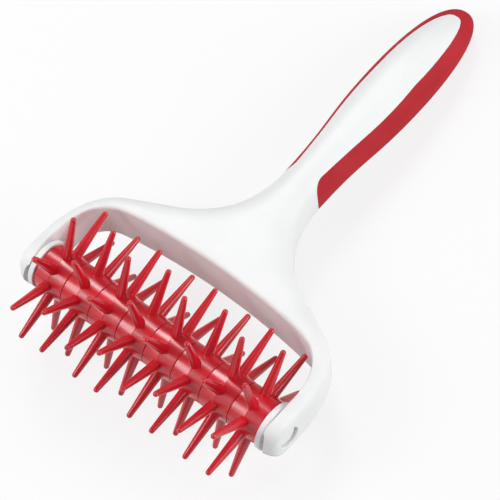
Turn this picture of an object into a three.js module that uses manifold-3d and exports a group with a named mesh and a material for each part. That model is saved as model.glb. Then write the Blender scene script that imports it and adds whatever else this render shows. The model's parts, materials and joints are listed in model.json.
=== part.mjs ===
// Dough docker: eight spiked rings on a hexagonal shaft, turning between the arms of a
// moulded fork whose handle carries a soft red grip band. Millimetres, +Z up.
// The tool is drawn flat, with the roller axis along X and the handle towards +Y, and is then
// tipped until spikes and grip stand on the table together.
import * as THREE from 'three';
import { mergeVertices } from 'three/addons/utils/BufferGeometryUtils.js';
import Module from 'manifold-3d';

const wasm = await Module();
wasm.setup();

// Spiked rings
const RING_COUNT = 8;
const RING_PITCH = 13;
const RING_SEAM = 0.3;
const RING_TURN = -60;
const ROLLER_PHASE = 21.5;
const BARREL_RADIUS = 8.7;
const BARREL_DRAFT = 0.3;
const SEAM_CHAMFER = 0.4;
const SPIKE_COUNT = 8;
const SPIKE_REACH = 27.5;
const SPIKE_ROOT_RADIUS = 1.8;
const SPIKE_TIP_RADIUS = 0.8;

// Shaft and thrust discs
const HEX_FLATS = 10;
const HEX_CLEARANCE = 0.15;
const JOURNAL_RADIUS = 4;
const JOURNAL_CLEARANCE = 0.3;
const JOURNAL_RECESS = 1;
const JOURNAL_CHAMFER = 0.5;
const DISC_RADIUS = 9.5;
const DISC_THICKNESS = 2.2;
const DISC_ROUND = 0.7;
const DISC_CLEARANCE = 0.2;
const RUN_GAP = 0.3;

// Fork
const FORK_THICKNESS = 20;
const AXIS_RISE = 0.9;
const ARM_THICKNESS = 6.4;
const ARM_STRAIGHT = 6;
const EDGE_ROUND = 7;
const ARM_END_ROUND = 5.5;
const ARM_TIP_ROUND = 2.5;
const WALL_CLEARANCE = 2.9;
const WALL_BOW = 2.6;
const CORNER_WIDTH = 16.6;
const CORNER_DEPTH = 18;
const CROSSBAR_DEPTH = 10.2;
const SHOULDER_RUN = 16.7;
const WEB_ANGLE = 26.6;
const LEAD_IN_DEPTH = 2;
const LEAD_IN_STEP = 0.8;

// Handle
const NECK_WIDTH = 17.4;
const NECK_RUN = 24;
const HANDLE_LENGTH = 122;
const GRIP_PEAK = 80;
const GRIP_WIDTH = 24;
const GRIP_THICKNESS = 21.6;
const BUTT_WIDTH = 19.6;
const BUTT_THICKNESS = 8.4;

// Grip band
const BAND_START = 23.6;
const BAND_HEIGHT = 14.4;
const BAND_END_HEIGHT = 1.6;
const BAND_FALL = 11;
const BAND_ROUND = 6;
const BAND_DEPTH = 2;
const BAND_CLEARANCE = 0.3;

// Facets
const BARREL_SIDES = 32;
const JOURNAL_SIDES = 24;
const SPIKE_SIDES = 8;
const CURVE_STEPS = 9;
const CORNER_STEPS = 6;
const BOSS_STEPS = 6;
const OVERCUT = 5;
const BUTT_CLOSE = 0.97;
const HANDLE_ROUNDNESS = 0.92;
const WELD = 1e-4;

// Resting pose
const TILT_LIMIT = 45;
const TILT_TOLERANCE = 1e-6;

// Colours and finishes
const WHITE = 0xf1f2f3;
const RING_RED = 0xc4202b;
const BAND_RED = 0xbb2f3b;
const GLOSS = 0.3;
const SATIN = 0.55;

const rad = THREE.MathUtils.degToRad;
const halfStack = RING_COUNT * RING_PITCH / 2;
const discInner = halfStack + RING_SEAM / 2;
const discOuter = discInner + DISC_THICKNESS;
const armInner = discOuter + RUN_GAP;
const armOuter = armInner + ARM_THICKNESS;
const bossRadius = FORK_THICKNESS / 2;
const journalBore = JOURNAL_RADIUS + JOURNAL_CLEARANCE;

// A closed three.js mesh as a solid for cutting and joining.
function solid(geometry) {
  const bare = geometry.clone();
  bare.deleteAttribute('normal');
  bare.deleteAttribute('uv');
  const merged = mergeVertices(bare, WELD);
  return new wasm.Manifold(new wasm.Mesh({
    numProp: 3,
    vertProperties: new Float32Array(merged.attributes.position.array),
    triVerts: new Uint32Array(merged.index.array),
  }));
}

function geometryOf(body) {
  const mesh = body.getMesh();
  const geometry = new THREE.BufferGeometry();
  geometry.setAttribute('position', new THREE.BufferAttribute(mesh.vertProperties, 3));
  geometry.setIndex(new THREE.BufferAttribute(mesh.triVerts, 1));
  geometry.computeVertexNormals();
  return geometry;
}

// A prism from a shape drawn in plan (X, Y), reaching from z = low to z = high.
function planPrism(shape, low, high) {
  const geometry = new THREE.ExtrudeGeometry(shape, {
    depth: high - low,
    bevelEnabled: false,
    curveSegments: CURVE_STEPS,
  });
  return geometry.translate(0, 0, low);
}

// A prism from a shape drawn in side view (Y, Z), reaching from x = low to x = high.
function sidePrism(shape, low, high) {
  const geometry = planPrism(shape, low, high);
  const axes = new THREE.Matrix4().makeBasis(
    new THREE.Vector3(0, 1, 0),
    new THREE.Vector3(0, 0, 1),
    new THREE.Vector3(1, 0, 0),
  );
  return geometry.applyMatrix4(axes);
}

// A solid of revolution about X from [x, radius] pairs.
function turned(pairs, sides) {
  const points = pairs.map(([x, radius]) => new THREE.Vector2(radius, x));
  return new THREE.LatheGeometry(points, sides).rotateZ(-Math.PI / 2);
}

// Distance from a hexagon's centre to its corners.
function hexReach(flats) {
  return flats / 2 / Math.cos(Math.PI / 6);
}

function hexagon(flats) {
  const corners = [];
  for (let corner = 0; corner < 6; corner += 1) {
    const angle = corner * Math.PI / 3;
    corners.push(new THREE.Vector2(Math.cos(angle), Math.sin(angle)).multiplyScalar(hexReach(flats)));
  }
  return new THREE.Shape(corners);
}

// One ring: a barrel with draft to both sides of its parting plane, eight spikes in that
// plane and a hexagonal bore.
function spikedRing() {
  const halfLength = (RING_PITCH - RING_SEAM) / 2;
  const endRadius = BARREL_RADIUS - BARREL_DRAFT;
  const barrel = solid(turned([
    [-halfLength, 0],
    [-halfLength, endRadius - SEAM_CHAMFER],
    [-halfLength + SEAM_CHAMFER, endRadius],
    [0, BARREL_RADIUS],
    [halfLength - SEAM_CHAMFER, endRadius],
    [halfLength, endRadius - SEAM_CHAMFER],
    [halfLength, 0],
  ], BARREL_SIDES));
  const domeCentre = SPIKE_REACH - SPIKE_TIP_RADIUS;
  const domeShoulder = SPIKE_TIP_RADIUS * Math.SQRT1_2;
  const boreFlats = HEX_FLATS + 2 * HEX_CLEARANCE;
  const buried = (endRadius + hexReach(boreFlats)) / 2;
  const profile = [
    new THREE.Vector2(0, buried),
    new THREE.Vector2(SPIKE_ROOT_RADIUS, buried),
    new THREE.Vector2(SPIKE_ROOT_RADIUS, BARREL_RADIUS),
    new THREE.Vector2(SPIKE_TIP_RADIUS, domeCentre),
    new THREE.Vector2(domeShoulder, domeCentre + domeShoulder),
    new THREE.Vector2(0, SPIKE_REACH),
  ];
  let ring = barrel;
  for (let spike = 0; spike < SPIKE_COUNT; spike += 1) {
    const cone = new THREE.LatheGeometry(profile, SPIKE_SIDES);
    cone.rotateX(spike * 2 * Math.PI / SPIKE_COUNT);
    ring = ring.add(solid(cone));
  }
  const bore = sidePrism(hexagon(boreFlats), -RING_PITCH, RING_PITCH);
  return geometryOf(ring.subtract(solid(bore)));
}

// Hexagonal bar with a round journal at each end.
function hexShaft() {
  const journalEnd = armOuter - JOURNAL_RECESS;
  const bar = solid(sidePrism(hexagon(HEX_FLATS), -halfStack, halfStack));
  const journals = solid(turned([
    [-journalEnd, 0],
    [-journalEnd, JOURNAL_RADIUS - JOURNAL_CHAMFER],
    [-journalEnd + JOURNAL_CHAMFER, JOURNAL_RADIUS],
    [journalEnd - JOURNAL_CHAMFER, JOURNAL_RADIUS],
    [journalEnd, JOURNAL_RADIUS - JOURNAL_CHAMFER],
    [journalEnd, 0],
  ], JOURNAL_SIDES));
  return geometryOf(bar.add(journals));
}

// Flange that closes the ring stack and rubs on the arm.
function thrustDisc() {
  const bore = JOURNAL_RADIUS + DISC_CLEARANCE;
  return turned([
    [discInner, bore],
    [discInner, DISC_RADIUS - DISC_ROUND],
    [discInner + DISC_ROUND, DISC_RADIUS],
    [discOuter - DISC_ROUND, DISC_RADIUS],
    [discOuter, DISC_RADIUS - DISC_ROUND],
    [discOuter, bore],
    [discInner, bore],
  ], BARREL_SIDES);
}

// Plan outline of the fork and handle, right half, as curves of increasing y.
const wallY = SPIKE_REACH + WALL_CLEARANCE;
const wallX = armInner - CORNER_WIDTH;
const webSlope = Math.tan(rad(WEB_ANGLE));
const webY = (x) => wallY + CROSSBAR_DEPTH - (x - wallX) * webSlope;
const neckHalf = NECK_WIDTH / 2;
const shoulder = new THREE.Vector2(armOuter, webY(armOuter));
const neckRoot = new THREE.Vector2(neckHalf, webY(neckHalf));
const alongWeb = new THREE.Vector2(-Math.cos(rad(WEB_ANGLE)), Math.sin(rad(WEB_ANGLE)));
const shoulderEnd = shoulder.clone().addScaledVector(alongWeb, SHOULDER_RUN);
const neckStart = neckRoot.clone().addScaledVector(alongWeb, -NECK_RUN);
const neckEnd = new THREE.Vector2(neckHalf, neckRoot.y + NECK_RUN);
const gripY = neckRoot.y + GRIP_PEAK;
const buttY = neckRoot.y + HANDLE_LENGTH;
const swellY = neckEnd.y + (gripY - neckEnd.y) / 2;
const taperY = gripY + (buttY - gripY) / 2;
const gripHalf = GRIP_WIDTH / 2;
const planCurves = [
  new THREE.LineCurve(new THREE.Vector2(armOuter, 0), new THREE.Vector2(armOuter, ARM_STRAIGHT)),
  new THREE.QuadraticBezierCurve(new THREE.Vector2(armOuter, ARM_STRAIGHT), shoulder, shoulderEnd),
  new THREE.LineCurve(shoulderEnd, neckStart),
  new THREE.QuadraticBezierCurve(neckStart, neckRoot, neckEnd),
  new THREE.CubicBezierCurve(
    neckEnd,
    new THREE.Vector2(neckHalf, swellY),
    new THREE.Vector2(gripHalf, swellY),
    new THREE.Vector2(gripHalf, gripY),
  ),
  new THREE.CubicBezierCurve(
    new THREE.Vector2(gripHalf, gripY),
    new THREE.Vector2(gripHalf, taperY),
    new THREE.Vector2(BUTT_WIDTH / 2, buttY),
    new THREE.Vector2(0, buttY),
  ),
];

// Half thickness along the tool, in the same way.
const sideCurves = [
  new THREE.LineCurve(new THREE.Vector2(bossRadius, 0), neckEnd.clone().setX(bossRadius)),
  new THREE.CubicBezierCurve(
    new THREE.Vector2(bossRadius, neckEnd.y),
    new THREE.Vector2(bossRadius, swellY),
    new THREE.Vector2(GRIP_THICKNESS / 2, swellY),
    new THREE.Vector2(GRIP_THICKNESS / 2, gripY),
  ),
  new THREE.CubicBezierCurve(
    new THREE.Vector2(GRIP_THICKNESS / 2, gripY),
    new THREE.Vector2(GRIP_THICKNESS / 2, taperY),
    new THREE.Vector2(BUTT_THICKNESS / 2, buttY),
    new THREE.Vector2(0, buttY),
  ),
];

// Points along a list of curves as { y, half, stretch }: half the width or thickness at y,
// and how much longer a run across the tool is than one square to the outline.
function stationsOf(curves) {
  const stations = [];
  curves.forEach((curve, place) => {
    const steps = curve.isLineCurve ? 1 : CURVE_STEPS;
    const last = place === curves.length - 1 ? steps - 1 : steps;
    for (let step = place === 0 ? 0 : 1; step <= last; step += 1) {
      const point = curve.getPoint(step / steps);
      const lean = curve.getTangent(step / steps).y;
      stations.push({ y: point.y, half: point.x, stretch: 1 / lean });
    }
  });
  const end = curves[curves.length - 1].getPoint(BUTT_CLOSE);
  stations.push({ y: end.y, half: end.x, stretch: 1 });
  return stations;
}

const planStations = stationsOf(planCurves);
const sideStations = stationsOf(sideCurves);

function halfThickness(y) {
  const next = sideStations.findIndex((station) => station.y >= y);
  if (next <= 0) {
    return sideStations[next < 0 ? sideStations.length - 1 : 0].half;
  }
  const before = sideStations[next - 1];
  const after = sideStations[next];
  return THREE.MathUtils.mapLinear(y, before.y, after.y, before.half, after.half);
}

// Height of the tool's mid line, which dips below the roller axis along the web.
function midLine(y) {
  const fall = THREE.MathUtils.smoothstep(y, 0, wallY);
  const rise = THREE.MathUtils.smoothstep(y, neckRoot.y, swellY);
  return AXIS_RISE * (rise - fall);
}

// Rounded rectangle across the tool, with corners that span roundX and roundZ.
function section(y, halfX, halfZ, roundX, roundZ) {
  const points = [];
  [[1, 1], [-1, 1], [-1, -1], [1, -1]].forEach(([signX, signZ], quarter) => {
    for (let step = 0; step <= CORNER_STEPS; step += 1) {
      const angle = (quarter + step / CORNER_STEPS) * Math.PI / 2;
      const x = signX * (halfX - roundX) + roundX * Math.cos(angle);
      const z = midLine(y) + signZ * (halfZ - roundZ) + roundZ * Math.sin(angle);
      points.push(new THREE.Vector3(x, y, z));
    }
  });
  return points;
}

// Skin over a row of equal sections, closed flat at both ends.
function loft(sections) {
  const count = sections[0].length;
  const last = (sections.length - 1) * count;
  const index = [];
  for (let row = 0; row < sections.length - 1; row += 1) {
    for (let column = 0; column < count; column += 1) {
      const a = row * count + column;
      const b = row * count + (column + 1) % count;
      index.push(a, a + count, b, b, a + count, b + count);
    }
  }
  for (let column = 1; column < count - 1; column += 1) {
    index.push(0, column, column + 1);
    index.push(last, last + column + 1, last + column);
  }
  const geometry = new THREE.BufferGeometry().setFromPoints(sections.flat());
  geometry.setIndex(index);
  return geometry;
}

// Corners grow from the fork's edge round to a fully rounded handle along the web.
function toolSection(y, halfX, halfZ, stretch) {
  const blend = THREE.MathUtils.smoothstep(y, shoulderEnd.y, neckEnd.y);
  const fullX = HANDLE_ROUNDNESS * halfX;
  const fullZ = HANDLE_ROUNDNESS * halfZ;
  const roundX = THREE.MathUtils.lerp(Math.min(EDGE_ROUND * stretch, fullX), fullX, blend);
  const roundZ = THREE.MathUtils.lerp(Math.min(EDGE_ROUND, fullZ), fullZ, blend);
  return section(y, halfX, halfZ, roundX, roundZ);
}

// Outer skin of fork and handle, with round arm ends about the roller axis.
function toolBody() {
  const sections = [];
  for (let step = 1; step < BOSS_STEPS; step += 1) {
    const angle = step / BOSS_STEPS * Math.PI / 2;
    const y = -bossRadius * Math.cos(angle);
    const past = Math.max(0, ARM_END_ROUND - bossRadius - y);
    const drawnIn = ARM_END_ROUND - Math.sqrt(ARM_END_ROUND ** 2 - past ** 2);
    sections.push(toolSection(y, armOuter - drawnIn, bossRadius * Math.sin(angle), 1));
  }
  for (const { y, half, stretch } of planStations) {
    sections.push(toolSection(y, half, halfThickness(y), stretch));
  }
  return loft(sections);
}

// The handle drawn in by a depth on all sides and at the butt.
function handleCore(depth) {
  const sections = [];
  const gripThick = GRIP_THICKNESS / 2;
  const buttLength = buttY - gripY;
  for (const { y, half, stretch } of planStations.filter((station) => station.y >= neckRoot.y)) {
    const thick = halfThickness(y);
    if (y <= gripY) {
      sections.push(toolSection(y, half - depth, thick - depth, stretch));
    } else {
      const inY = gripY + (y - gripY) * (buttLength - depth) / buttLength;
      const inX = half * (gripHalf - depth) / gripHalf;
      const inZ = thick * (gripThick - depth) / gripThick;
      sections.push(toolSection(inY, inX, inZ, stretch));
    }
  }
  return loft(sections);
}

// Side view of the grip band, grown on all sides by a clearance.
function bandZone(grow) {
  const start = neckRoot.y + BAND_START - grow;
  const straight = start + BAND_ROUND;
  const full = BAND_HEIGHT / 2 + grow;
  const end = BAND_END_HEIGHT / 2 + grow;
  const fall = buttY - BAND_FALL + grow;
  const past = buttY + OVERCUT;
  const shape = new THREE.Shape();
  shape.moveTo(start, midLine(start));
  shape.quadraticCurveTo(start, midLine(start) + full, straight, midLine(straight) + full);
  shape.lineTo(gripY, full);
  shape.quadraticCurveTo(fall, full, past, end);
  shape.lineTo(past, -end);
  shape.quadraticCurveTo(fall, -full, gripY, -full);
  shape.lineTo(straight, midLine(straight) - full);
  shape.quadraticCurveTo(start, midLine(start) - full, start, midLine(start));
  return solid(sidePrism(shape, -GRIP_WIDTH, GRIP_WIDTH));
}

// Space for the roller between the arms, with a bowed back wall and round corners.
function throat() {
  const slope = 2 * WALL_BOW / wallX;
  const cornerY = wallY - slope * CORNER_WIDTH;
  const front = -bossRadius - OVERCUT;
  const mouth = armInner + ARM_TIP_ROUND;
  const tipY = ARM_TIP_ROUND - bossRadius;
  const shape = new THREE.Shape();
  shape.moveTo(-mouth, front);
  shape.lineTo(mouth, front);
  shape.lineTo(mouth, -bossRadius);
  shape.quadraticCurveTo(armInner, -bossRadius, armInner, tipY);
  shape.lineTo(armInner, cornerY - CORNER_DEPTH);
  shape.quadraticCurveTo(armInner, cornerY, wallX, wallY);
  shape.quadraticCurveTo(0, wallY + 2 * WALL_BOW, -wallX, wallY);
  shape.quadraticCurveTo(-armInner, cornerY, -armInner, cornerY - CORNER_DEPTH);
  shape.lineTo(-armInner, tipY);
  shape.quadraticCurveTo(-armInner, -bossRadius, -mouth, -bossRadius);
  return solid(planPrism(shape, -FORK_THICKNESS, FORK_THICKNESS));
}

// Ramp in an arm's inner face that guides a journal from the arm's end to its bore.
function leadIn(side) {
  const inside = armInner - OVERCUT;
  const front = -bossRadius - OVERCUT;
  const shape = new THREE.Shape();
  shape.moveTo(side * inside, front);
  shape.lineTo(side * (armInner + LEAD_IN_DEPTH), front);
  shape.lineTo(side * (armInner + LEAD_IN_DEPTH), -bossRadius);
  shape.lineTo(side * (armInner + LEAD_IN_STEP), 0);
  shape.lineTo(side * inside, 0);
  return solid(planPrism(shape, -journalBore, journalBore));
}

function forkHandle(body) {
  const bore = turned([
    [-armOuter - OVERCUT, 0],
    [-armOuter - OVERCUT, journalBore],
    [armOuter + OVERCUT, journalBore],
    [armOuter + OVERCUT, 0],
  ], JOURNAL_SIDES);
  const groove = bandZone(BAND_CLEARANCE).subtract(solid(handleCore(BAND_DEPTH + BAND_CLEARANCE)));
  let fork = body.subtract(throat()).subtract(solid(bore)).subtract(groove);
  for (const side of [-1, 1]) {
    fork = fork.subtract(leadIn(side));
  }
  return geometryOf(fork);
}

function gripBand(body) {
  return geometryOf(body.intersect(bandZone(0)).subtract(solid(handleCore(BAND_DEPTH))));
}

function piece(name, geometry, colour, roughness) {
  const material = new THREE.MeshStandardMaterial({ color: colour, roughness, metalness: 0 });
  const mesh = new THREE.Mesh(geometry, material);
  mesh.name = name;
  return mesh;
}

const body = solid(toolBody());
const handle = new THREE.Group();
handle.add(piece('fork_handle', forkHandle(body), WHITE, GLOSS));
handle.add(piece('grip_band', gripBand(body), BAND_RED, SATIN));

const roller = new THREE.Group();
roller.rotation.x = rad(ROLLER_PHASE);
roller.add(piece('hex_shaft', hexShaft(), WHITE, GLOSS));
roller.add(piece('thrust_disc_right', thrustDisc(), WHITE, GLOSS));
roller.add(piece('thrust_disc_left', thrustDisc().rotateZ(Math.PI), WHITE, GLOSS));
for (let place = 0; place < RING_COUNT; place += 1) {
  const ring = piece(`spiked_ring_${place + 1}`, spikedRing(), RING_RED, GLOSS);
  ring.position.x = (place + 0.5) * RING_PITCH - halfStack;
  ring.rotation.x = rad(place % 2 * RING_TURN);
  roller.add(ring);
}

// The tool tips about the roller axis until its two ends reach the table together.
const tool = new THREE.Group();
tool.add(handle, roller);
let low = 0;
let high = rad(TILT_LIMIT);
while (high - low > rad(TILT_TOLERANCE)) {
  tool.rotation.x = -(low + high) / 2;
  tool.updateMatrixWorld();
  const grip = new THREE.Box3().setFromObject(handle, true).min.z;
  const spikes = new THREE.Box3().setFromObject(roller, true).min.z;
  if (grip > spikes) {
    low = -tool.rotation.x;
  } else {
    high = -tool.rotation.x;
  }
}
const box = new THREE.Box3().setFromObject(tool, true);
const centre = box.getCenter(new THREE.Vector3());
tool.position.set(-centre.x, -centre.y, -box.min.z);

const group = new THREE.Group();
group.add(tool);
export default group;
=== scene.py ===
import json
import math

import bmesh
import bpy
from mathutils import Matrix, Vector

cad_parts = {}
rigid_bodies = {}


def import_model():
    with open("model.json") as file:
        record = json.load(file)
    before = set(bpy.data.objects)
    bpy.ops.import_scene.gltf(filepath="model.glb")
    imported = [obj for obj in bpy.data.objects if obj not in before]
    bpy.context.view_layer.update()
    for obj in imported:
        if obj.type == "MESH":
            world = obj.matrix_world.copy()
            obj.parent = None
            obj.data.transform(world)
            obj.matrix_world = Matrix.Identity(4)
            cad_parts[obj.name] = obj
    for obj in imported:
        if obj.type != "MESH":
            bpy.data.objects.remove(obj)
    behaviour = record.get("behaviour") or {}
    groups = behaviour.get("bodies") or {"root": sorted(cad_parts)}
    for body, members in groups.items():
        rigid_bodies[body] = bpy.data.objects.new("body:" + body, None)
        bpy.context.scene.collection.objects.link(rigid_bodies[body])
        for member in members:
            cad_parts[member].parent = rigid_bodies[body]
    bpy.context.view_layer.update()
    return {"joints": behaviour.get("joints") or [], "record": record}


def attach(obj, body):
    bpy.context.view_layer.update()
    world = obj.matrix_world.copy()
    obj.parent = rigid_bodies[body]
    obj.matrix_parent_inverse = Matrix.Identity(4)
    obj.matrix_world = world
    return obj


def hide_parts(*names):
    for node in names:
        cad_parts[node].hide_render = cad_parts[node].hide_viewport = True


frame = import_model()

# Fork and handle: one moulding of glossy white plastic, with two arms, a bowed crossbar, a web
# and a swollen grip. It is skinned over rounded sections from the arm ends to the butt, and the
# throat, the journal bores with their lead-in ramps and the seat of the soft band are cut out.
MM = 0.001
ROLLER_AXIS = Vector(frame["joints"][0]["pos_m"])
WEB_NORMAL = Vector(frame["record"]["mounts"][0]["axis"])
TOOL_LEAN = -math.atan2(WEB_NORMAL.y, WEB_NORMAL.z)
HOOP_POINTS = 64
HALF_FORK = 10 * MM
EDGE_WIDTH = 9.5 * MM
EDGE_HEIGHT = 7 * MM
ARM_EDGE_HEIGHT = 4.5 * MM
EDGE_FULLNESS = 2.4
AXIS_RISE = 0.9 * MM
FULL_ROUND = 0.92
ARM_INNER = 54.65 * MM
ARM_OUTER = 60.3 * MM
ARM_END_ROUND = 5.5 * MM
ARM_TIP_ROUND = 2.5 * MM
ARM_END_STEPS = 14
ARM_STRAIGHT = 6 * MM
WALL_X = 38.05 * MM
WALL_Y = 30.4 * MM
WALL_BOW = 2.6 * MM
CORNER_WIDTH = 16.6 * MM
CORNER_DEPTH = 18 * MM
CORNER_BELOW = 0.7
SHOULDER = Vector((60.9, 29.15)) * MM
SHOULDER_END = Vector((46.12, 36.56)) * MM
NECK_START = Vector((30.16, 44.55)) * MM
NECK_ROOT = Vector((8.7, 55.3)) * MM
NECK_END = Vector((8.7, 79.3)) * MM
SWELL_Y = 107.3 * MM
GRIP = Vector((12, 135.3)) * MM
GRIP_HALF_HEIGHT = 10.8 * MM
TAPER_Y = 156.3 * MM
BUTT_Y = 177.25 * MM
BUTT_HALF_WIDTH = 9.8 * MM
BUTT_HALF_HEIGHT = 4.2 * MM
BUTT_CLOSE = 0.06
RIM_ROUND = 1.6 * MM
RIM_STEPS = 5
RIM_SWEEP = math.radians(70)
OVERCUT = 3 * MM
JOURNAL_BORE = 4.3 * MM
BORE_FLARE = 0.3 * MM
BORE_SIDES = 64
LEAD_IN_MOUTH = 7 * MM
LEAD_IN_DEEP = 1.8 * MM
LEAD_IN_RISE = 2.5 * MM
LEAD_IN_END = 0.6 * MM
LEAD_IN_SIDES = 48
BAND_START = 78.3 * MM
BAND_CORNER = 6.5 * MM
BAND_START_HEIGHT = 8.06 * MM
BAND_WAIST = Vector((105, 7.1)) * MM
BAND_GRIP_HEIGHT = 8.28 * MM
BAND_BUTT_HEIGHT = 7.7 * MM
BAND_FALL = 10 * MM
BAND_END = 1.5 * MM
BAND_DEPTH = 2 * MM
BAND_SEAM = 0.08 * MM
SMOOTH_ANGLE = math.radians(32)
SLOPE_STEP = 0.001
LEAST_SLOPE = 0.05
FACING = 0.9


def bezier(points, share):
    """The point at a share of the way along a Bezier curve."""
    while len(points) > 1:
        points = [a.lerp(b, share) for a, b in zip(points, points[1:])]
    return points[0]


def ease(value, low, high):
    """A share that rises from 0 at low to 1 at high and is level at both ends."""
    share = min(1, max(0, (value - low) / (high - low)))
    return share * share * (3 - 2 * share)


def mid_line(y):
    """Height of the middle of the skin, which dips below the roller axis along the web."""
    return AXIS_RISE * (ease(y, NECK_ROOT.y, SWELL_Y) - ease(y, 0, WALL_Y))


def half_height(y):
    """Half the thickness of the skin: level along the fork, swollen at the grip, closed at the butt."""
    if y <= NECK_END.y:
        return HALF_FORK
    if y <= GRIP.y:
        side = [(HALF_FORK, NECK_END.y), (HALF_FORK, SWELL_Y), (GRIP_HALF_HEIGHT, SWELL_Y),
                (GRIP_HALF_HEIGHT, GRIP.y)]
    else:
        side = [(GRIP_HALF_HEIGHT, GRIP.y), (GRIP_HALF_HEIGHT, TAPER_Y), (BUTT_HALF_HEIGHT, BUTT_Y),
                (0, BUTT_Y)]
    side = [Vector(point) for point in side]
    low, high = 0, 1
    for _ in range(40):
        middle = (low + high) / 2
        if bezier(side, middle).y < y:
            low = middle
        else:
            high = middle
    return bezier(side, low).x


def skin_sections(depth):
    """Sections of the skin, drawn in by depth. Each is the section's y, its half width and half height,
    the width and height of its corners, and how full these are."""
    plan = [
        ([(ARM_OUTER, 0), (ARM_OUTER, ARM_STRAIGHT)], 3),
        ([(ARM_OUTER, ARM_STRAIGHT), SHOULDER, SHOULDER_END], 16),
        ([SHOULDER_END, NECK_START], 4),
        ([NECK_START, NECK_ROOT, NECK_END], 18),
        ([NECK_END, (NECK_END.x, SWELL_Y), (GRIP.x, SWELL_Y), GRIP], 18),
        ([GRIP, (GRIP.x, TAPER_Y), (BUTT_HALF_WIDTH, BUTT_Y), (0, BUTT_Y)], 22),
    ]
    sections = []
    for step in range(1, ARM_END_STEPS):
        angle = step / ARM_END_STEPS * math.pi / 2
        y = -HALF_FORK * math.cos(angle)
        past = max(0, ARM_END_ROUND - HALF_FORK - y)
        drawn_in = ARM_END_ROUND - math.sqrt(ARM_END_ROUND ** 2 - past ** 2)
        height = HALF_FORK * math.sin(angle)
        sections.append((y, ARM_OUTER - drawn_in, height, EDGE_WIDTH,
                         min(ARM_EDGE_HEIGHT, FULL_ROUND * height), EDGE_FULLNESS))
    for place, (points, steps) in enumerate(plan):
        points = [Vector(point) for point in points]
        last = place == len(plan) - 1
        for step in range(steps):
            share = step / steps
            if last:
                share = 1 - (1 - BUTT_CLOSE) * (1 - share) ** 2 - BUTT_CLOSE * (1 - share)
            point = bezier(points, share)
            slope = (bezier(points, share + SLOPE_STEP) - point).normalized().y
            width, height = point.x, half_height(point.y)
            y = point.y
            if y <= GRIP.y:
                width, height = width - depth, height - depth
            else:
                y = GRIP.y + (y - GRIP.y) * (BUTT_Y - GRIP.y - depth) / (BUTT_Y - GRIP.y)
                width *= (GRIP.x - depth) / GRIP.x
                height *= (GRIP_HALF_HEIGHT - depth) / GRIP_HALF_HEIGHT
            rounding = ease(point.y, SHOULDER_END.y, NECK_END.y)
            full_width, full_height = FULL_ROUND * width, FULL_ROUND * height
            edge_width = min(EDGE_WIDTH / max(slope, LEAST_SLOPE), full_width)
            edge_height = ARM_EDGE_HEIGHT + (EDGE_HEIGHT - ARM_EDGE_HEIGHT) * ease(point.y, 0, WALL_Y)
            edge_height = min(edge_height, full_height)
            sections.append((y, width, height,
                             edge_width + (full_width - edge_width) * rounding,
                             edge_height + (full_height - edge_height) * rounding,
                             EDGE_FULLNESS + (2 - EDGE_FULLNESS) * rounding))
    return sections


def close_piece(name):
    """Leaves edit mode with all faces outward, and puts the piece's origin at the world's."""
    bpy.ops.mesh.select_all(action="SELECT")
    bpy.ops.mesh.normals_make_consistent(inside=False)
    bpy.ops.object.mode_set(mode="OBJECT")
    piece = bpy.context.object
    piece.name = name
    bpy.ops.object.transform_apply(location=True, rotation=True, scale=True)
    return piece


def skin(name, sections):
    """Skins a row of rounded sections: each is a circle, drawn out to the section's sides and corners."""
    half_step = math.pi / HOOP_POINTS
    for place, (y, half_x, half_z, round_x, round_z, fullness) in enumerate(sections):
        bpy.ops.mesh.primitive_circle_add(vertices=HOOP_POINTS, radius=1, location=(0, y, 0),
                                          rotation=(math.pi / 2, half_step, 0))
        if place == 0:
            bpy.ops.object.transform_apply(location=True, rotation=True, scale=True)
            bpy.ops.object.mode_set(mode="EDIT")
        mesh = bmesh.from_edit_mesh(bpy.context.object.data)
        for vert in mesh.verts:
            if vert.select:
                out = half_x - round_x + round_x * abs(vert.co.x) ** (2 / fullness)
                rise = half_z - round_z + round_z * abs(vert.co.z) ** (2 / fullness)
                vert.co.x = math.copysign(out, vert.co.x)
                vert.co.z = mid_line(y) + math.copysign(rise, vert.co.z)
    bpy.ops.mesh.select_all(action="SELECT")
    bpy.ops.mesh.bridge_edge_loops()
    bpy.ops.mesh.select_all(action="SELECT")
    bpy.ops.mesh.fill_holes(sides=0)
    return close_piece(name)


def trace(points, new_piece):
    """Draws a closed wire through the points, vertex by vertex, in a new piece or in the one being edited."""
    bpy.ops.mesh.primitive_plane_add(size=MM, location=points[0])
    if new_piece:
        bpy.ops.object.mode_set(mode="EDIT")
    bpy.ops.mesh.merge(type="CENTER")
    for last, point in zip(points, points[1:]):
        bpy.ops.mesh.extrude_vertices_move(TRANSFORM_OT_translate={"value": Vector(point) - Vector(last)})
    bpy.ops.mesh.select_linked()
    mesh = bmesh.from_edit_mesh(bpy.context.object.data)
    for vert in mesh.verts:
        vert.select = vert.select and len(vert.link_edges) == 1
    mesh.select_flush_mode()
    bpy.ops.mesh.edge_face_add()
    bpy.ops.mesh.select_linked()


def pick(piece):
    """Selects a piece alone and makes it the active one."""
    bpy.ops.object.select_all(action="DESELECT")
    piece.select_set(True)
    bpy.context.view_layer.objects.active = piece


def twin(piece, name):
    """A copy of a piece with a mesh of its own."""
    pick(piece)
    bpy.ops.object.duplicate()
    bpy.context.object.name = name
    return bpy.context.object


def cut(piece, tool, operation="DIFFERENCE"):
    """Cuts, trims or welds a piece with another, which is then thrown away."""
    pick(piece)
    modifier = piece.modifiers.new("cut", "BOOLEAN")
    modifier.solver = "EXACT"
    modifier.operation = operation
    modifier.object = tool
    bpy.ops.object.modifier_apply(modifier=modifier.name)
    bpy.data.objects.remove(tool)


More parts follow.
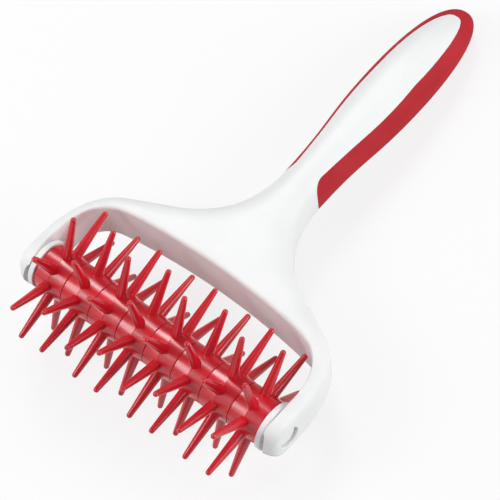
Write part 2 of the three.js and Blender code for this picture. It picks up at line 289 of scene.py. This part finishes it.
def select_faces(direction):
    """Selects the faces that look in a direction, on the piece being edited."""
    bpy.ops.mesh.select_all(action="DESELECT")
    mesh = bmesh.from_edit_mesh(bpy.context.object.data)
    for face in mesh.faces:
        if face.normal.dot(Vector(direction)) > FACING:
            face.select = True
    mesh.select_flush_mode()


def throat_outline(grow, corner_size):
    """Plan of the opening between the arms, drawn wider by grow, with its corners scaled in size."""
    inner = ARM_INNER + grow
    mouth = inner + ARM_TIP_ROUND
    front = -HALF_FORK
    wall_end = ARM_INNER - CORNER_WIDTH * corner_size
    wall_end_y = WALL_Y + WALL_BOW * (1 - (wall_end / WALL_X) ** 2)
    corner_y = wall_end_y - 2 * WALL_BOW * wall_end / WALL_X ** 2 * (ARM_INNER - wall_end)
    tip = [Vector((mouth, front)), Vector((inner, front)), Vector((inner, front + ARM_TIP_ROUND))]
    corner = [Vector((inner, corner_y - CORNER_DEPTH * corner_size)), Vector((inner, corner_y + grow)),
              Vector((wall_end, wall_end_y + grow))]
    arm = [Vector((mouth, front - OVERCUT))]
    arm += [bezier(tip, step / 6) for step in range(7)]
    arm += [bezier(corner, step / 14) for step in range(14)]
    back = []
    for step in range(25):
        x = wall_end * (1 - step / 12)
        back.append(Vector((x, WALL_Y + WALL_BOW * (1 - (x / WALL_X) ** 2) + grow)))
    return arm + back + [Vector((-point.x, point.y)) for point in reversed(arm)]


def band_outline(grow):
    """Side view of the band's seat, drawn wider by grow."""
    start = BAND_START - grow
    shoulder = Vector((start + BAND_CORNER, BAND_START_HEIGHT))
    waist = [shoulder, BAND_WAIST, Vector((GRIP.y, BAND_GRIP_HEIGHT))]
    butt = [waist[-1], Vector((BUTT_Y - BAND_FALL, BAND_BUTT_HEIGHT)),
            Vector((BUTT_Y + OVERCUT, BAND_END))]
    corner = [Vector((start, 0)), Vector((start, shoulder.y)), shoulder]
    top = [bezier(corner, step / 10) for step in range(10)]
    top += [bezier(waist, step / 16) for step in range(16)]
    top += [bezier(butt, step / 14) for step in range(15)]
    top = [Vector((point.x, mid_line(point.x) + point.y + grow)) for point in top]
    top[0].y = mid_line(BAND_START)
    return top + [Vector((point.x, 2 * mid_line(point.x) - point.y)) for point in reversed(top[1:])]


def band_zone(name, grow):
    """A block through the grip with the band's outline in side view."""
    side = GRIP.x + OVERCUT
    trace([(-side, point.x, point.y) for point in band_outline(grow)], True)
    bpy.ops.mesh.edge_face_add()
    bpy.ops.mesh.extrude_region_move(TRANSFORM_OT_translate={"value": (2 * side, 0, 0)})
    return close_piece(name)


fork = skin("fork_moulding", skin_sections(0))
blank = twin(fork, "blank")

levels = []
for step in range(RIM_STEPS + 1):
    angle = step / RIM_STEPS * RIM_SWEEP
    levels.append((HALF_FORK - RIM_ROUND + RIM_ROUND * math.sin(angle), RIM_ROUND * (1 - math.cos(angle))))
levels.append((levels[-1][0] + MM, levels[-1][1] + MM * math.tan(RIM_SWEEP)))
levels = [(-height, grow) for height, grow in reversed(levels)] + levels
for place, (height, grow) in enumerate(levels):
    corner_size = CORNER_BELOW + (1 - CORNER_BELOW) * (height + HALF_FORK) / (2 * HALF_FORK)
    trace([(point.x, point.y, height) for point in throat_outline(grow, corner_size)], place == 0)
bpy.ops.mesh.select_all(action="SELECT")
bpy.ops.mesh.bridge_edge_loops()
bpy.ops.mesh.select_all(action="SELECT")
bpy.ops.mesh.fill_holes(sides=0)
throat = close_piece("throat")
throat.rotation_euler.x = -math.atan(AXIS_RISE / WALL_Y)
cut(fork, throat)

bpy.ops.mesh.primitive_cylinder_add(vertices=BORE_SIDES, radius=JOURNAL_BORE,
                                    depth=2 * (ARM_OUTER - BORE_FLARE), rotation=(0, math.pi / 2, 0))
bpy.ops.object.transform_apply(location=True, rotation=True, scale=True)
bpy.ops.object.mode_set(mode="EDIT")
for side in (-1, 1):
    select_faces((side, 0, 0))
    bpy.ops.mesh.extrude_region_move(TRANSFORM_OT_translate={"value": (side * 3 * BORE_FLARE, 0, 0)})
    widened = 1 + 3 * BORE_FLARE / JOURNAL_BORE
    bpy.ops.transform.resize(value=(1, widened, widened), center_override=(side * ARM_OUTER, 0, 0))
cut(fork, close_piece("bore"))

for side in (-1, 1):
    bpy.ops.mesh.primitive_cylinder_add(vertices=LEAD_IN_SIDES, radius=1, depth=HALF_FORK + OVERCUT,
                                        location=(side * ARM_INNER, -(HALF_FORK + OVERCUT) / 2, 0),
                                        rotation=(math.pi / 2, 0, 0), scale=(LEAD_IN_DEEP, LEAD_IN_MOUTH, 1))
    bpy.ops.object.transform_apply(location=True, rotation=True, scale=True)
    bpy.ops.object.mode_set(mode="EDIT")
    select_faces((0, 1, 0))
    bpy.ops.transform.resize(value=(LEAD_IN_END / LEAD_IN_DEEP, 1, JOURNAL_BORE / LEAD_IN_MOUTH),
                             center_override=(side * ARM_INNER, 0, 0))
    select_faces((0, -1, 0))
    bpy.ops.transform.translate(value=(0, 0, LEAD_IN_RISE))
    cut(fork, close_piece("lead_in"))

seat = band_zone("seat", 0)
cut(seat, skin("core", skin_sections(BAND_DEPTH)))
cut(fork, seat)


def finish_piece(piece, turn=0.0, along=0.0):
    """Turns a piece about the roller axis, lays it down with the tool and smooths its faces."""
    pick(piece)
    piece.rotation_euler = (TOOL_LEAN + turn, 0, 0)
    piece.location = ROLLER_AXIS + Vector((along, 0, 0))
    bpy.ops.object.transform_apply(location=True, rotation=True, scale=True)
    bpy.ops.object.shade_smooth_by_angle(angle=SMOOTH_ANGLE)
    modifier = piece.modifiers.new("even_normals", "WEIGHTED_NORMAL")
    modifier.keep_sharp = True
    bpy.ops.object.modifier_apply(modifier=modifier.name)


def moulded_plastic(name, dark, light, roughness, shine, grain, depth):
    """A moulded plastic: two close tones in soft clouds, uneven gloss and a fine grain in the skin."""
    material = bpy.data.materials.new(name)
    material.use_nodes = True
    nodes, links = material.node_tree.nodes, material.node_tree.links
    shader = nodes["Principled BSDF"]
    shader.inputs["Specular IOR Level"].default_value = shine
    place = nodes.new("ShaderNodeTexCoord")
    cloud = nodes.new("ShaderNodeTexNoise")
    cloud.inputs["Scale"].default_value = 60
    cloud.inputs["Detail"].default_value = 3
    tones = nodes.new("ShaderNodeValToRGB")
    tones.color_ramp.elements[0].position = 0.35
    tones.color_ramp.elements[0].color = (*dark, 1)
    tones.color_ramp.elements[1].position = 0.65
    tones.color_ramp.elements[1].color = (*light, 1)
    gloss = nodes.new("ShaderNodeMapRange")
    gloss.inputs["To Min"].default_value = roughness[0]
    gloss.inputs["To Max"].default_value = roughness[1]
    fine = nodes.new("ShaderNodeTexNoise")
    fine.inputs["Scale"].default_value = grain
    fine.inputs["Detail"].default_value = 2
    bump = nodes.new("ShaderNodeBump")
    bump.inputs["Strength"].default_value = 0.25
    bump.inputs["Distance"].default_value = depth
    links.new(place.outputs["Object"], cloud.inputs["Vector"])
    links.new(place.outputs["Object"], fine.inputs["Vector"])
    links.new(cloud.outputs["Fac"], tones.inputs["Fac"])
    links.new(cloud.outputs["Fac"], gloss.inputs["Value"])
    links.new(fine.outputs["Fac"], bump.inputs["Height"])
    links.new(tones.outputs["Color"], shader.inputs["Base Color"])
    links.new(gloss.outputs["Result"], shader.inputs["Roughness"])
    links.new(bump.outputs["Normal"], shader.inputs["Normal"])
    return material


white_plastic = moulded_plastic("white_plastic", dark=(0.88, 0.889, 0.892), light=(0.91, 0.919, 0.921),
                                roughness=(0.42, 0.5), shine=0.35, grain=700, depth=0.02 * MM)
finish_piece(fork)
fork.data.materials.append(white_plastic)
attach(fork, "handle")
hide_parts("fork_handle")

# Soft band: crimson rubber with a satin face, moulded on round both flanks of the grip and its butt.
# It fills its seat in the handle and runs on flush from the white panels above and below it.
band = blank
cut(band, band_zone("band_trim", -BAND_SEAM), "INTERSECT")
cut(band, skin("band_core", skin_sections(BAND_DEPTH - BAND_SEAM)))
band.name = "soft_band"
finish_piece(band)
soft_rubber = moulded_plastic("soft_rubber", dark=(0.49, 0.031, 0.041), light=(0.54, 0.039, 0.049),
                              roughness=(0.55, 0.65), shine=0.03, grain=2600, depth=0.05 * MM)
band.data.materials.append(soft_rubber)
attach(band, "handle")
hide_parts("grip_band")

# Shaft: white plastic, a hexagonal bar through the rings with a round journal at each end.
# The journals turn in the arms' bores, and their ends stay a little below the arms' faces.
HEX_FLATS = 10 * MM
HALF_STACK = 52 * MM
JOURNAL = 3.88 * MM
JOURNAL_END = 59.2 * MM
JOURNAL_CHAMFER = 0.5 * MM
JOURNAL_SIDES = 48

bpy.ops.mesh.primitive_cylinder_add(vertices=6, radius=HEX_FLATS / math.sqrt(3), depth=2 * HALF_STACK,
                                    rotation=(0, math.pi / 2, 0))
bpy.ops.object.mode_set(mode="EDIT")
shaft = close_piece("hex_bar")
bpy.ops.mesh.primitive_cylinder_add(vertices=JOURNAL_SIDES, radius=JOURNAL, depth=2 * JOURNAL_END,
                                    rotation=(0, math.pi / 2, 0))
bpy.ops.object.transform_apply(location=True, rotation=True, scale=True)
bpy.ops.object.mode_set(mode="EDIT")
for side in (-1, 1):
    bpy.ops.mesh.select_all(action="DESELECT")
    mesh = bmesh.from_edit_mesh(bpy.context.object.data)
    for vert in mesh.verts:
        vert.select = vert.co.x * side > JOURNAL_END - JOURNAL_CHAMFER
    mesh.select_flush_mode()
    bpy.ops.mesh.bevel(offset=JOURNAL_CHAMFER, segments=3)
cut(shaft, close_piece("journals"), "UNION")
shaft.name = "roller_shaft"
finish_piece(shaft)
shaft.data.materials.append(white_plastic)
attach(shaft, "roller")
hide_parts("hex_shaft")

# Thrust discs: two white plastic flanges on the journals, between the rings and the arms.
# Both are turned to one profile with rounded rims.
DISC_INNER = 52.15 * MM
DISC_OUTER = 54.53 * MM
DISC_RADIUS = 9.5 * MM
DISC_BORE = 4.2 * MM
DISC_ROUND = 0.8 * MM
DISC_INNER_ROUND = 0.25 * MM
DISC_STEPS = 96
RIM_POINTS = 6


def turn_profile(profile, steps):
    """Spins a closed profile of (x, radius) round the roller axis."""
    trace([(x, 0, radius) for x, radius in profile], True)
    bpy.ops.mesh.select_all(action="SELECT")
    bpy.ops.mesh.spin(steps=steps, angle=2 * math.pi, center=(0, 0, 0), axis=(1, 0, 0))
    bpy.ops.mesh.select_all(action="SELECT")
    bpy.ops.mesh.remove_doubles(threshold=0.001 * MM)


quarter = [step / (RIM_POINTS - 1) * math.pi / 2 for step in range(RIM_POINTS)]
rim = [(math.sin(angle), math.cos(angle)) for angle in quarter]
disc_profile = [(DISC_INNER, DISC_BORE)]
disc_profile += [(DISC_INNER + DISC_INNER_ROUND * (1 - across), DISC_RADIUS - DISC_INNER_ROUND * (1 - out))
                 for out, across in rim]
disc_profile += [(DISC_OUTER - DISC_ROUND * (1 - across), DISC_RADIUS - DISC_ROUND * (1 - out))
                 for across, out in rim]
disc_profile += [(DISC_OUTER, DISC_BORE)]
for side, name in ((-1, "left"), (1, "right")):
    turn_profile(disc_profile, DISC_STEPS)
    disc = close_piece("end_disc_" + name)
    if side < 0:
        disc.rotation_euler.z = math.pi
        bpy.ops.object.transform_apply(location=True, rotation=True, scale=True)
    finish_piece(disc)
    disc.data.materials.append(white_plastic)
    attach(disc, "roller")
    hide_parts("thrust_disc_" + name)

# Spiked rings: eight glossy red mouldings side by side on the hexagonal bar, each with eight spikes
# in its parting plane and draft to both sides of it. Every second ring sits one flat of the hexagon
# further round, which sets its spikes between those of its neighbours.
RING_COUNT = 8
RING_PITCH = 13 * MM
RING_HALF = 6.42 * MM
BARREL_MIDDLE = 9.1 * MM
BARREL_END = 8.72 * MM
SEAM_ROUND = 0.2 * MM
PARTING_HALF = 0.13 * MM
PARTING_DEEP = 0.1 * MM
HEX_CLEARANCE = 0.15 * MM
RING_TURN = math.radians(-60)
ROLLER_PHASE = math.radians(21.5)
SPIKE_COUNT = 8
SPIKE_POINTS = 24
SPIKE_RIDGE = 0.08
SPIKE_FLAT = 0.74
SPIKE_ROOT = Vector((6.6, 2.12)) * MM
SPIKE_NECK = Vector((26.45, 1.05)) * MM
SPIKE_TIP = [Vector(point) * MM for point in ((26.85, 0.98), (27.15, 0.82), (27.35, 0.58), (27.46, 0.28))]
BARREL_STEPS = 96

# A spike is oval in section, widest along the roller, with a faint ridge in the ring's parting plane.
root_radius = SPIKE_ROOT.y / (1 - SPIKE_RIDGE)
bpy.ops.mesh.primitive_circle_add(vertices=SPIKE_POINTS, radius=root_radius, fill_type="NGON",
                                  location=(0, 0, SPIKE_ROOT.x), scale=(1, SPIKE_FLAT, 1))
bpy.ops.object.transform_apply(location=True, rotation=True, scale=True)
bpy.ops.object.mode_set(mode="EDIT")
mesh = bmesh.from_edit_mesh(bpy.context.object.data)
for side in (-1, 1):
    for vert in mesh.verts:
        vert.select = vert.co.x * side > 0.1 * MM
    mesh.select_flush_mode()
    bpy.ops.transform.translate(value=(-side * SPIKE_RIDGE * root_radius, 0, 0))
bpy.ops.mesh.select_all(action="SELECT")
stations = [SPIKE_ROOT, SPIKE_NECK] + SPIKE_TIP
for (low, wide), (high, narrow) in zip(stations, stations[1:]):
    bpy.ops.mesh.extrude_region_move(TRANSFORM_OT_translate={"value": (0, 0, high - low)})
    bpy.ops.transform.resize(value=(narrow / wide, narrow / wide, 1), center_override=(0, 0, high))
spike = close_piece("spike")
spikes = [spike]
for place in range(1, SPIKE_COUNT):
    copy = twin(spike, "spike_copy")
    copy.rotation_euler.x = place * 2 * math.pi / SPIKE_COUNT
    bpy.ops.object.transform_apply(location=True, rotation=True, scale=True)
    spikes.append(copy)
pick(spike)
for copy in spikes:
    copy.select_set(True)
bpy.ops.object.join()

# The barrel is turned half a step, so that no edge of a spike lies along one of its edges.
slope = (BARREL_MIDDLE - BARREL_END) / RING_HALF
shoulder = [(RING_HALF - SEAM_ROUND * (1 - across), BARREL_END - SEAM_ROUND * (1 - out))
            for across, out in rim]
half = [(PARTING_HALF, BARREL_MIDDLE - slope * PARTING_HALF)] + shoulder
inner = HEX_FLATS / 2
ring_profile = [(0, BARREL_MIDDLE - PARTING_DEEP)] + half + [(RING_HALF, inner), (-RING_HALF, inner)]
ring_profile += [(-x, radius) for x, radius in reversed(half)]
turn_profile(ring_profile, BARREL_STEPS)
ring = close_piece("ring")
ring.rotation_euler.x = math.pi / BARREL_STEPS
bpy.ops.object.transform_apply(location=True, rotation=True, scale=True)
cut(ring, spike, "UNION")
bpy.ops.mesh.primitive_cylinder_add(vertices=6, radius=(HEX_FLATS + 2 * HEX_CLEARANCE) / math.sqrt(3),
                                    depth=2 * RING_PITCH, rotation=(0, math.pi / 2, 0))
bpy.ops.object.mode_set(mode="EDIT")
cut(ring, close_piece("hex_bore"))

red_plastic = moulded_plastic("red_plastic", dark=(0.58, 0.006, 0.018), light=(0.66, 0.009, 0.023),
                              roughness=(0.2, 0.28), shine=0.8, grain=900, depth=0.02 * MM)
for place in range(RING_COUNT):
    piece = twin(ring, "pricking_ring_%d" % (place + 1))
    turn = ROLLER_PHASE + place % 2 * RING_TURN
    finish_piece(piece, turn, along=(place + 0.5) * RING_PITCH - HALF_STACK)
    piece.data.materials.append(red_plastic)
    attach(piece, "roller")
    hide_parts("spiked_ring_%d" % (place + 1))
bpy.data.objects.remove(ring)

# Table and studio: a table that is white to the eye and keeps a soft shadow, a dim white room, and four
# soft lamps: above and behind the tool, near its left end, low at the right and large at the front.
# The camera stands where the photograph was taken from.
TABLE_SIZE = 6
CAMERA_PLACE = (0.343896, -0.238057, 0.8327)
CAMERA_ANGLES = [math.radians(angle) for angle in (24.91968, 9.07713, 39.47277)]
CAMERA_LENS = 181.908
SENSOR_WIDTH = 36

bpy.ops.mesh.primitive_plane_add(size=TABLE_SIZE, location=(0, 0, 0))
table = bpy.context.object
table.name = "table"
bpy.ops.object.transform_apply(location=True, rotation=True, scale=True)
table_paint = bpy.data.materials.new("table_paint")
table_paint.use_nodes = True
nodes, links = table_paint.node_tree.nodes, table_paint.node_tree.links
paint = nodes["Principled BSDF"]
paint.inputs["Base Color"].default_value = (0.5, 0.5, 0.5, 1)
paint.inputs["Roughness"].default_value = 0.9
paint.inputs["Specular IOR Level"].default_value = 0.1
white = nodes.new("ShaderNodeBsdfDiffuse")
white.inputs["Color"].default_value = (0.9, 0.9, 0.9, 1)
glow = nodes.new("ShaderNodeEmission")
top = nodes.new("ShaderNodeMixShader")
top.inputs["Fac"].default_value = 0.8
ray = nodes.new("ShaderNodeLightPath")
seen = nodes.new("ShaderNodeMath")
seen.operation = "ADD"
mirrored = nodes.new("ShaderNodeMath")
mirrored.operation = "ADD"
mix = nodes.new("ShaderNodeMixShader")
links.new(white.outputs["BSDF"], top.inputs[1])
links.new(glow.outputs["Emission"], top.inputs[2])
links.new(ray.outputs["Is Camera Ray"], seen.inputs[0])
links.new(ray.outputs["Is Glossy Ray"], seen.inputs[1])
links.new(seen.outputs["Value"], mirrored.inputs[0])
links.new(ray.outputs["Is Transmission Ray"], mirrored.inputs[1])
links.new(mirrored.outputs["Value"], mix.inputs["Fac"])
links.new(paint.outputs["BSDF"], mix.inputs[1])
links.new(top.outputs["Shader"], mix.inputs[2])
links.new(mix.outputs["Shader"], nodes["Material Output"].inputs["Surface"])
table.data.materials.append(table_paint)

world = bpy.context.scene.world
if world is None:
    world = bpy.data.worlds.new("room")
    bpy.context.scene.world = world
world.use_nodes = True
world.node_tree.nodes["Background"].inputs["Color"].default_value = (1, 1, 1, 1)
world.node_tree.nodes["Background"].inputs["Strength"].default_value = 0.17

for name, stand, size, watts in (
    ("back_lamp", (-0.46, 0.5, 0.86), 0.36, 4.4),
    ("front_lamp", (-0.29, -0.34, 0.42), 0.24, 1),
    ("side_lamp", (0.92, 0.36, 0.4), 0.7, 8),
    ("fill_lamp", (-0.5, -0.9, 0.8), 1.6, 6),
):
    bpy.ops.object.light_add(type="AREA", location=stand)
    lamp = bpy.context.object
    lamp.name = name
    lamp.rotation_euler = Vector(stand).to_track_quat("Z", "Y").to_euler()
    lamp.data.size = size
    lamp.data.energy = watts

bpy.ops.object.camera_add(location=CAMERA_PLACE, rotation=CAMERA_ANGLES)
camera = bpy.context.object
camera.data.lens = CAMERA_LENS
camera.data.sensor_width = SENSOR_WIDTH
bpy.context.scene.camera = camera
bpy.context.scene.view_settings.view_transform = "Standard"
